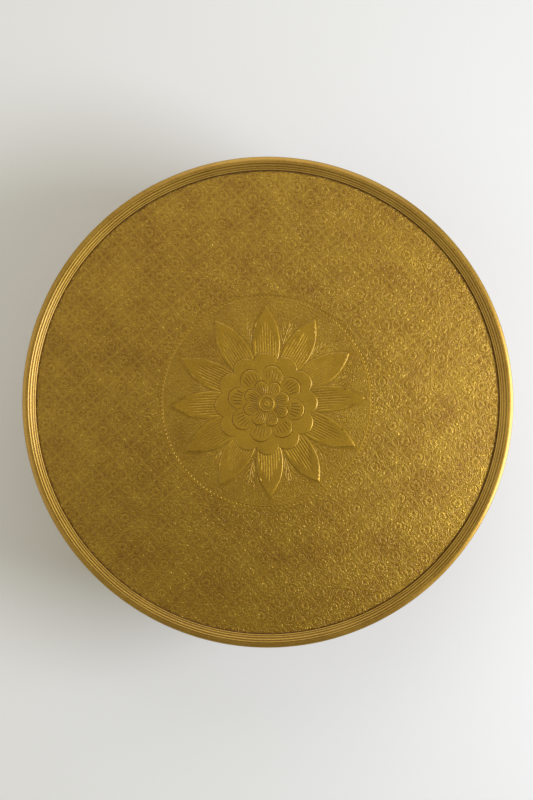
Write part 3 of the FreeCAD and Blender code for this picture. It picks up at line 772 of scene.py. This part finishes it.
# The rope bed's section, with its two thin lines: distance from the rope's circle, height and relief.
rope_lines = [
    (3.7 * MM, -0.05 * MM, 0), (3.1 * MM, 0.2 * MM, 0.8), (2.6 * MM, sink, -0.1),
    (-2.6 * MM, sink, -0.1), (-3.1 * MM, 0.2 * MM, 0.8), (-3.7 * MM, -0.05 * MM, 0.2),
]
rope_bed = lathe(
    "rope_bed", [(rope_radius + off, ground_z + z) for off, z, tone in rope_lines], rope_steps,
    flower_brass, [tone for off, z, tone in rope_lines],
)
rope_bed.data.transform(Matrix.Translation((*rope_middle, 0)))
keep(rope_bed, "root", "antique_brass", "top_sheet")

# The chased leaves and sprigs
# Twelve pointed leaves stand out round the flower. Each is raised from behind, then its outline is chased
# from the front, which throws up a lip outside it, and nine veins are cut side by side with a graver.
# Between the leaves are small feathered sprigs. All are set out by eye, so no two are quite alike.
hand = random.Random(12)
leaf_count = 12
# The first leaf points along +Y, but for the angle that the medallion was set out askew.
askew = 1.9
medallion_turn = math.radians(90 + askew)
leaf_root, leaf_shoulder, leaf_tip = 40 * MM, 97 * MM, 159 * MM
leaf_half_width = 22 * MM
leaf_rise = 0.55 * MM
leaf_crown_share = 0.07
leaf_start = 66 * MM
leaf_rows = 52
vein_count = 9
vein_pitch, vein_width, vein_depth = 4.1 * MM, 1.4 * MM, 0.36 * MM
vein_short, vein_long = 106 * MM, 138 * MM
vein_fade = 9 * MM
# How far each line along a leaf's edge is set in, and the share of the leaf's rise that it stands at: the
# lip's foot and crest, the chased line, and the leaf's rounded edge.
edge_inset = 1.0 * MM
edge_lines = [
    (-2.1 * MM, -0.1), (-1.0 * MM, 0.45), (-0.2 * MM, -0.05), (0.5 * MM, 0.8), (edge_inset, 0.97),
]
# The relief of a leaf's uncut top, and how much a full rise or a full cut adds to it.
leaf_relief, cut_relief = 0.35, 1.2
# How far the hand may stray on each leaf, in millimetres: its tip, its width, its veins' ends, its bend.
tip_stray, width_stray, vein_stray, bend_stray = (-2.5, 2.0), (-0.8, 0.8), (-6, 5), (-1.5, 1.5)


def leaf_half(x, half_width, tip):
    """How far a leaf's edge stands from its middle line at a distance from the flower's middle."""
    run = (tip if x > leaf_shoulder else leaf_root) - leaf_shoulder
    radius = (run * run + half_width * half_width) / (2 * half_width)
    off = min(abs(x - leaf_shoulder), abs(run))
    return max(half_width - radius + math.sqrt(radius * radius - off * off), 0.0)


def leaf_columns():
    """The lines along a leaf, edge to edge: a kind, its side or vein, its inset or place across, its share.

    An edge line's share is of the leaf's rise, and a vein line's of the cut's depth.
    """
    columns = [("edge", 1, inset, share) for inset, share in edge_lines]
    for vein in range(vein_count):
        middle = (vein - (vein_count - 1) / 2) * vein_pitch
        for offset, share in ((-vein_width / 2, 0.0), (0.0, 1.0), (vein_width / 2, 0.0)):
            columns.append(("vein", vein, -(middle + offset), share))
    return columns + [("edge", -1, inset, share) for inset, share in reversed(edge_lines)]


def add_leaf(work, turn):
    """One leaf at its angle, with its own small differences."""
    tip = leaf_tip + hand.uniform(*tip_stray) * MM
    half_width = leaf_half_width + hand.uniform(*width_stray) * MM
    middle = (vein_count - 1) / 2
    ends = [
        vein_long - (vein_long - vein_short) * abs(vein - middle) / middle + hand.uniform(*vein_stray) * MM
        for vein in range(vein_count)
    ]
    bend = hand.uniform(*bend_stray) * MM
    slope = (tip - leaf_shoulder) / half_width
    columns = leaf_columns()
    points, relief = [], []
    for row in range(leaf_rows + 1):
        along = row / leaf_rows
        for kind, which, across, share in columns:
            inset = across if kind == "edge" else edge_inset
            end = tip - inset * slope
            x = leaf_start + (end - leaf_start) * along
            half = leaf_half(x, half_width - inset, end)
            if kind == "edge":
                y, height, tone = half * which, leaf_rise * share, cut_relief * share + hollow
            else:
                y = max(-half, min(half, across))
                crown = 1 - leaf_crown_share * (y / half_width) ** 2
                fade = min(max((ends[which] - x) / vein_fade, 0.0), 1.0)
                cut = share * fade if abs(across) < half else 0.0
                height, tone = leaf_rise * crown - vein_depth * cut, leaf_relief - cut_relief * cut
            y += bend * math.sin(math.pi * along)
            points.append((
                x * math.cos(turn) - y * math.sin(turn), x * math.sin(turn) + y * math.cos(turn),
                ground_z + height,
            ))
            relief.append(tone)
    width = len(columns)
    faces = [
        (row * width + i, row * width + i + 1, (row + 1) * width + i + 1, (row + 1) * width + i)
        for row in range(leaf_rows) for i in range(width - 1)
    ]
    work.add(points, [face[::-1] for face in faces], relief)


def setting_out(number):
    """The angle of a leaf, or of a gap at a half number: even steps, drifting by eye to one diagonal."""
    drift, diagonal = math.radians(1.5), math.radians(60)
    turn = medallion_turn - number * 2 * math.pi / leaf_count
    return turn - drift * math.cos(2 * (turn - diagonal))


def add_sprig(work, turn):
    """A stem with three pairs of long barbs that lean along it, as raised hairlines."""
    stem_width, stem_rise = 1.9 * MM, 0.44 * MM
    barb_offset, barb_width, barb_rise = 1.2 * MM, 1.8 * MM, 0.42 * MM
    first_pair_share, next_pair_share = 0.16, 0.22
    # These are in millimetres and degrees, and so is how far the hand may stray from each.
    stem_start, stem_end, barb_length, barb_shortening, barb_fan = 92, 141, 19, 2, 21
    start_stray, end_stray, lean_stray, length_stray, fan_stray = (-3, 3), (-5, 4), (-3, 3), (-3, 3), (-5, 5)

    def place(along, across):
        return (
            along * math.cos(turn) - across * math.sin(turn),
            along * math.sin(turn) + across * math.cos(turn),
        )

    start = (stem_start + hand.uniform(*start_stray)) * MM
    end = (stem_end + hand.uniform(*end_stray)) * MM
    lean = hand.uniform(*lean_stray) * MM
    work.ridge(place(start, 0), place(end, lean), stem_width, stem_rise)
    for pair in range(3):
        foot = start + (end - start) * (first_pair_share + next_pair_share * pair)
        for side in (-1, 1):
            length = (barb_length - barb_shortening * pair + hand.uniform(*length_stray)) * MM
            fan = math.radians(barb_fan + hand.uniform(*fan_stray))
            reach = (foot + length * math.cos(fan), side * (barb_offset + length * math.sin(fan)))
            work.ridge(place(foot, side * barb_offset), place(*reach), barb_width, barb_rise)


leaves = RaisedWork()
for number in range(leaf_count):
    add_leaf(leaves, setting_out(number))
leaf_piece = leaves.object("chased_leaves", flower_brass)
keep(leaf_piece, "root", "antique_brass", "top_sheet")
sprigs = RaisedWork()
for number in range(leaf_count):
    add_sprig(sprigs, setting_out(number + 0.5))
sprigs.points = [(x, y, z + ground_z) for x, y, z in sprigs.points]
keep(sprigs.object("chased_sprigs", flower_brass), "root", "antique_brass", "top_sheet")

# The flower
# Three tiers of round petals, one above the other, round a ringed boss. The sheet is raised from behind in
# steps, and each outline is chased from the front. The two upper tiers have short cuts in their petals.
flower_columns = 720
flower_middle = (-2.2 * MM, -2.5 * MM)
stroke_width, stroke_depth = 2.1 * MM, 0.26 * MM


def lobe_reach(angle, count, tip, valley, turn):
    """How far a ring of round lobes, one arc each, reaches at an angle."""
    step = 2 * math.pi / count
    off = (angle - turn + step / 2) % step - step / 2
    middle = (tip * tip - valley * valley) / (2 * (tip - valley * math.cos(step / 2)))
    radius = tip - middle
    return middle * math.cos(off) + math.sqrt(radius ** 2 - (middle * math.sin(off)) ** 2), off / step


def cut_depth(angle, radius, count, turn, strokes, fan, start, end):
    """How deep a petal's fanned cuts go at a point, 0 between them. Outer cuts are shorter."""
    shortening_share, start_fade, end_fade = 0.12, 2 * MM, 3 * MM
    step = 2 * math.pi / count
    off = (angle - turn + step / 2) % step - step / 2
    nearest = max(-(strokes // 2), min(strokes // 2, round(off / fan)))
    shorter = abs(nearest) * shortening_share * (end - start)
    aside = abs(off - nearest * fan) * radius / (stroke_width / 2)
    ends = min((radius - start) / start_fade, (end - shorter - radius) / end_fade, 1.0)
    return stroke_depth * max(1 - aside, 0.0) * max(ends, 0.0)


class Tier:
    """One tier of petals: its outline, its height over the ground and its cuts.

    Lengths are in millimetres, angles in degrees, and the rise is over the tray's face. Strokes are a
    petal's number of cuts, the angle between two of them and the radii where they start and end.
    """

    def __init__(self, count, tip, valley, rise, turn, strokes=None):
        self.count, self.tip, self.valley = count, tip * MM, valley * MM
        self.rise = rise * MM + emboss_rise
        self.turn = medallion_turn + math.radians(turn)
        self.strokes = strokes

    def reach(self, angle):
        """How far the tier reaches at an angle, and how far across its petal that is."""
        return lobe_reach(angle, self.count, self.tip, self.valley, self.turn)

    def cut(self, angle, radius):
        """How deep the tier is cut at a point."""
        if not self.strokes:
            return 0.0
        strokes, fan, start, end = self.strokes
        return cut_depth(
            angle, radius, self.count, self.turn, strokes, math.radians(fan), start * MM, end * MM,
        )


tiers = [
    Tier(count=8, tip=38, valley=25, rise=0.9, turn=16, strokes=(5, 8, 14.5, 34)),
    Tier(count=8, tip=63, valley=42.5, rise=0.65, turn=-13.5, strokes=(5, 6, 40, 58)),
    Tier(count=12, tip=84, valley=73, rise=0.42, turn=0),
]
# The boss's section: radius and height in millimetres, and relief. Heights are taken over its lowest line
# and drawn down to a share, because the real boss is nearly flat.
boss_lines = [
    (0.0, 2.9, 0.1), (1.6, 2.9, 0.1), (2.4, 3.4, 0.6), (3.6, 3.35, 0.5), (4.8, 2.9, 0.2), (5.6, 2.45, -0.6),
    (6.4, 2.75, 0.3), (8.2, 2.6, 0.2), (10.2, 2.45, -0.6), (11.0, 3.05, 0.3), (11.9, 3.4, 0.6),
    (12.6, 3.1, 0.3), (13.2, 2.5, -0.8),
]
boss_low, boss_share = 2.45, 0.45
boss_edge = 14.2 * MM
leaf_cover = 0.04 * MM
petal_rings = 18
petal_swell, swell_speed = 0.12 * MM, 1.1
valley_width, valley_depth = 0.8 * MM, 0.3 * MM
petal_relief, stroke_relief = 0.6, 3.0
# A tier's edge: how far in its round begins and stands, the line chased round it, the lip that this throws
# up on the tier below, and on the lowest tier the foot that goes into the ground.
round_start, round_middle, round_share, round_relief = 1.5 * MM, 0.9 * MM, 0.8, 0.8
chase_inner, chase_outer, chase_depth, chase_relief = 0.2 * MM, 0.7 * MM, 0.1 * MM, -1.6
lip_crest, lip_end, lip_rise, lip_relief = 1.4 * MM, 2.2 * MM, 0.06 * MM, 0.6
foot_outer, foot_depth, foot_relief = 0.9 * MM, 0.05 * MM, -1.0


def flower_column(angle):
    """The points of the flower along one angle, from its middle out, and how proud each stands."""
    points = [
        (r * MM, (z - boss_low) * boss_share * MM + tiers[0].rise, tone) for r, z, tone in boss_lines
    ]
    inner_edge = boss_edge
    for tier, below in zip(tiers, tiers[1:] + [None]):
        reach, across = tier.reach(angle)
        dome = petal_swell * math.cos(2 * math.pi * across)
        floor = below.rise if below else leaf_rise + leaf_cover
        outer_edge = reach - round_start
        for i in range(petal_rings + 1):
            share = i / petal_rings
            radius = inner_edge + (outer_edge - inner_edge) * share
            cut = tier.cut(angle, radius)
            swell = dome * math.sin(math.pi * min(share * swell_speed, 1.0) / 2)
            aside = (0.5 - abs(across)) * 2 * math.pi / tier.count * radius
            valley_line = max(1 - aside / valley_width, 0.0) * share ** 2
            points.append((
                radius, tier.rise + swell - cut - valley_depth * valley_line,
                petal_relief - stroke_relief * cut / stroke_depth - valley_line,
            ))
        drop = tier.rise + dome - floor
        points.append((reach - round_middle, floor + drop * round_share, round_relief))
        points.append((reach - chase_inner, floor - chase_depth, chase_relief))
        if below:
            points.append((reach + chase_outer, floor - chase_depth, chase_relief))
            points.append((reach + lip_crest, floor + lip_rise, lip_relief))
            inner_edge = reach + lip_end
        else:
            points.append((reach + chase_outer, floor, chase_relief))
            points.append((reach + foot_outer, -foot_depth, foot_relief))
    return points


flower_points, flower_relief = [], []
for column in range(flower_columns):
    angle = tiers[0].turn + 2 * math.pi * column / flower_columns
    for radius, height, tone in flower_column(angle):
        flower_points.append((
            flower_middle[0] + radius * math.cos(angle), flower_middle[1] + radius * math.sin(angle),
            ground_z + height,
        ))
        flower_relief.append(tone)
per_column = len(flower_points) // flower_columns
flower_faces = [
    (
        column * per_column + i, column * per_column + i + 1,
        (column + 1) % flower_columns * per_column + i + 1, (column + 1) % flower_columns * per_column + i,
    )
    for column in range(flower_columns) for i in range(per_column - 1)
]
flower = mesh_object("chased_flower", flower_points, flower_faces, flower_relief, flower_brass)
keep(flower, "root", "antique_brass", "top_sheet")

# The rim
# Brass spun over a wooden ring: an upright lip, then four beads that step up to a crowned land. The outer
# face steps in over a cove to a plain skirt with a rolled bead at its hem, pinned to the wood behind it.
table_radius = 400 * MM
table_height = 400 * MM
rim_steps = 480
rim_foot = 378.5 * MM
lip = 3.6 * MM
# Where the four beads begin and end, as shares of the way from the lip to the land. The outer are wider.
bead_end_shares = (0, 0.21, 0.45, 0.76, 1)
# The rim's foot and upright lip are its darkest brass: patina, and painted shade in the crease where the rim
# meets the tray.
rim_foot_patina_and_shade_relief, rim_groove_relief = -1.0, -0.7
rim_bead_bulge = 0.55 * MM
land_start = table_radius - 8 * MM
land_z = table_height - 0.2 * MM
land_fall, land_crown, land_steps = 0.4 * MM, 0.3 * MM, 12
land_groove_relief, land_relief = -0.5, 0.35
corner, corner_steps = 1.6 * MM, 6
face_low = table_height - 10 * MM
face_edge = 0.5 * MM
cove_depth, cove_line = 1.6 * MM, 1 * MM
hem_line = 12 * MM
hem_foot_relief, hidden_relief = 0.1, 0.3
face_wall, land_wall, foot_wall = 2 * MM, 1.3 * MM, 0.6 * MM


def rim_lines():
    """The rim's section and its relief, outer side first from the tray to the hem and then back inside."""
    lip_z = tray_z + lip
    # The foot starts at the darkest tone: patina, and painted shade where the rim meets the tray.
    profile, relief = [(rim_foot, tray_z)], [rim_foot_patina_and_shade_relief]
    for near, far in zip(bead_end_shares, bead_end_shares[1:]):
        start, end = [
            (rim_foot + (land_start - rim_foot) * share, lip_z + (land_z - lip_z) * share)
            for share in (near, far)
        ]
        profile += bulged(start, end, rim_bead_bulge, bead_steps)[:-1]
        relief += crest(bead_steps, rim_groove_relief)[:-1]
    land_end = (table_radius - corner, land_z - land_fall)
    profile += bulged((land_start, land_z), land_end, land_crown, land_steps)[:-1]
    relief += [land_groove_relief] + [land_relief] * (land_steps - 1)
    for i in range(corner_steps + 1):
        turn = math.pi / 2 * (1 - i / corner_steps)
        across, down = 1 - math.cos(turn), 1 - math.sin(turn)
        profile.append((table_radius - corner * across, land_end[1] - corner * down))
        relief.append(1.0)
    # The face's lower edge, the cove and the skirt: radius, height and relief.
    cove_low = face_low - cove_depth
    outer = [
        (table_radius, face_low + face_edge, 0.8), (table_radius - edge, face_low, 0.6),
        (band_radius, cove_low, 0.0), (band_radius, cove_low - cove_line, 0.45),
        (band_radius, skirt_low + hem_line, flat_relief),
    ]
    profile += [(radius, z) for radius, z, tone in outer]
    relief += [tone for radius, z, tone in outer]
    profile += bulged(
        (band_radius, skirt_low + bead_height), (band_radius, skirt_low), bead_bulge, bead_steps,
    )
    relief += crest(bead_steps, hem_foot_relief)
    hidden = [
        (band_inner, skirt_low), (band_inner, land_z - face_wall), (land_start, land_z - land_wall),
        (rim_foot + foot_wall, sheet_low), (rim_foot, sheet_low),
    ]
    return profile + hidden, relief + [hidden_relief] * len(hidden)


# Brass spun over a former and lacquered: satin on its crests, brown and glossier between its beads, with
# fine rings from the wheel.
rim_brass = aged_brass(
    "spun_brass_rim", "#7A4C0A", "#C09A42", carved=0.48, cloud=70 * MM, rough=(0.24, 0.46), marks=spun_rings,
)
rim_profile, rim_relief = rim_lines()
rim = lathe("rim_brass", rim_profile[::-1], rim_steps, rim_brass, rim_relief[::-1])
keep(rim, "root", "antique_brass", "rim_moulding")

# The photograph's view
# The camera looks straight down from two metres over the rim. The table stands on a plain pale floor, in
# soft light from all round, with a large soft lamp to the right and dimmer ones beyond it and to the left.
floor_reach = 60.0
lamp_target = (0, 0, 0.3)
camera_height = 2.0
camera_offset = (-2 * MM, 3.5 * MM)


def stage_floor():
    """A plain matt floor, nearly white."""
    mesh = bpy.data.meshes.new("floor")
    corners = [(floor_reach * x, floor_reach * y, 0) for x, y in ((-1, -1), (1, -1), (1, 1), (-1, 1))]
    mesh.from_pydata(corners, [], [(0, 1, 2, 3)])
    material, tree, shader = new_material("matt_floor", metallic=0.0)
    shader.inputs["Base Color"].default_value = srgb("#F4F2F2")
    shader.inputs["Roughness"].default_value = 0.9
    mesh.materials.append(material)
    floor = bpy.data.objects.new("floor", mesh)
    bpy.context.scene.collection.objects.link(floor)
    floor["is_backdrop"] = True


def soft_lamp(name, place, size, power, colour):
    """A square area lamp that faces the table, hidden from the camera."""
    lamp = bpy.data.lights.new(name, "AREA")
    lamp.shape = "SQUARE"
    lamp.size, lamp.energy = size, power
    lamp.color = srgb(colour)[:3]
    holder = bpy.data.objects.new(name, lamp)
    bpy.context.scene.collection.objects.link(holder)
    holder.visible_camera = False
    holder.location = place
    holder.rotation_euler = (Vector(lamp_target) - Vector(place)).to_track_quat("-Z", "Y").to_euler()


stage_floor()
soft_lamp("right_panel", place=(1.8, -0.22, 2.2), size=1.2, power=53, colour="#E9F1FF")
soft_lamp("far_panel", place=(0.1, 1.6, 2.6), size=1.6, power=12, colour="#FFFFFF")
soft_lamp("left_panel", place=(-1.6, 0.0, 2.6), size=1.6, power=7, colour="#FFFFFF")

world = bpy.data.worlds.new("studio")
bpy.context.scene.world = world
world.use_nodes = True
world.node_tree.nodes.clear()
sky = add_node(world.node_tree, "ShaderNodeBackground", {"Color": srgb("#FFFCE3"), "Strength": 0.39})
add_node(world.node_tree, "ShaderNodeOutputWorld", {"Surface": sky.outputs["Background"]})

camera = bpy.data.objects.new("camera", bpy.data.cameras.new("camera"))
bpy.context.scene.collection.objects.link(camera)
bpy.context.scene.camera = camera
camera.location = (*camera_offset, table_height + camera_height)
# From this height, this lens gives the table the width that it has in the photograph.
camera.data.lens = 55.3
camera.data.clip_start = 0.05
bpy.context.scene.view_settings.view_transform = "Standard"

low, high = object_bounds()
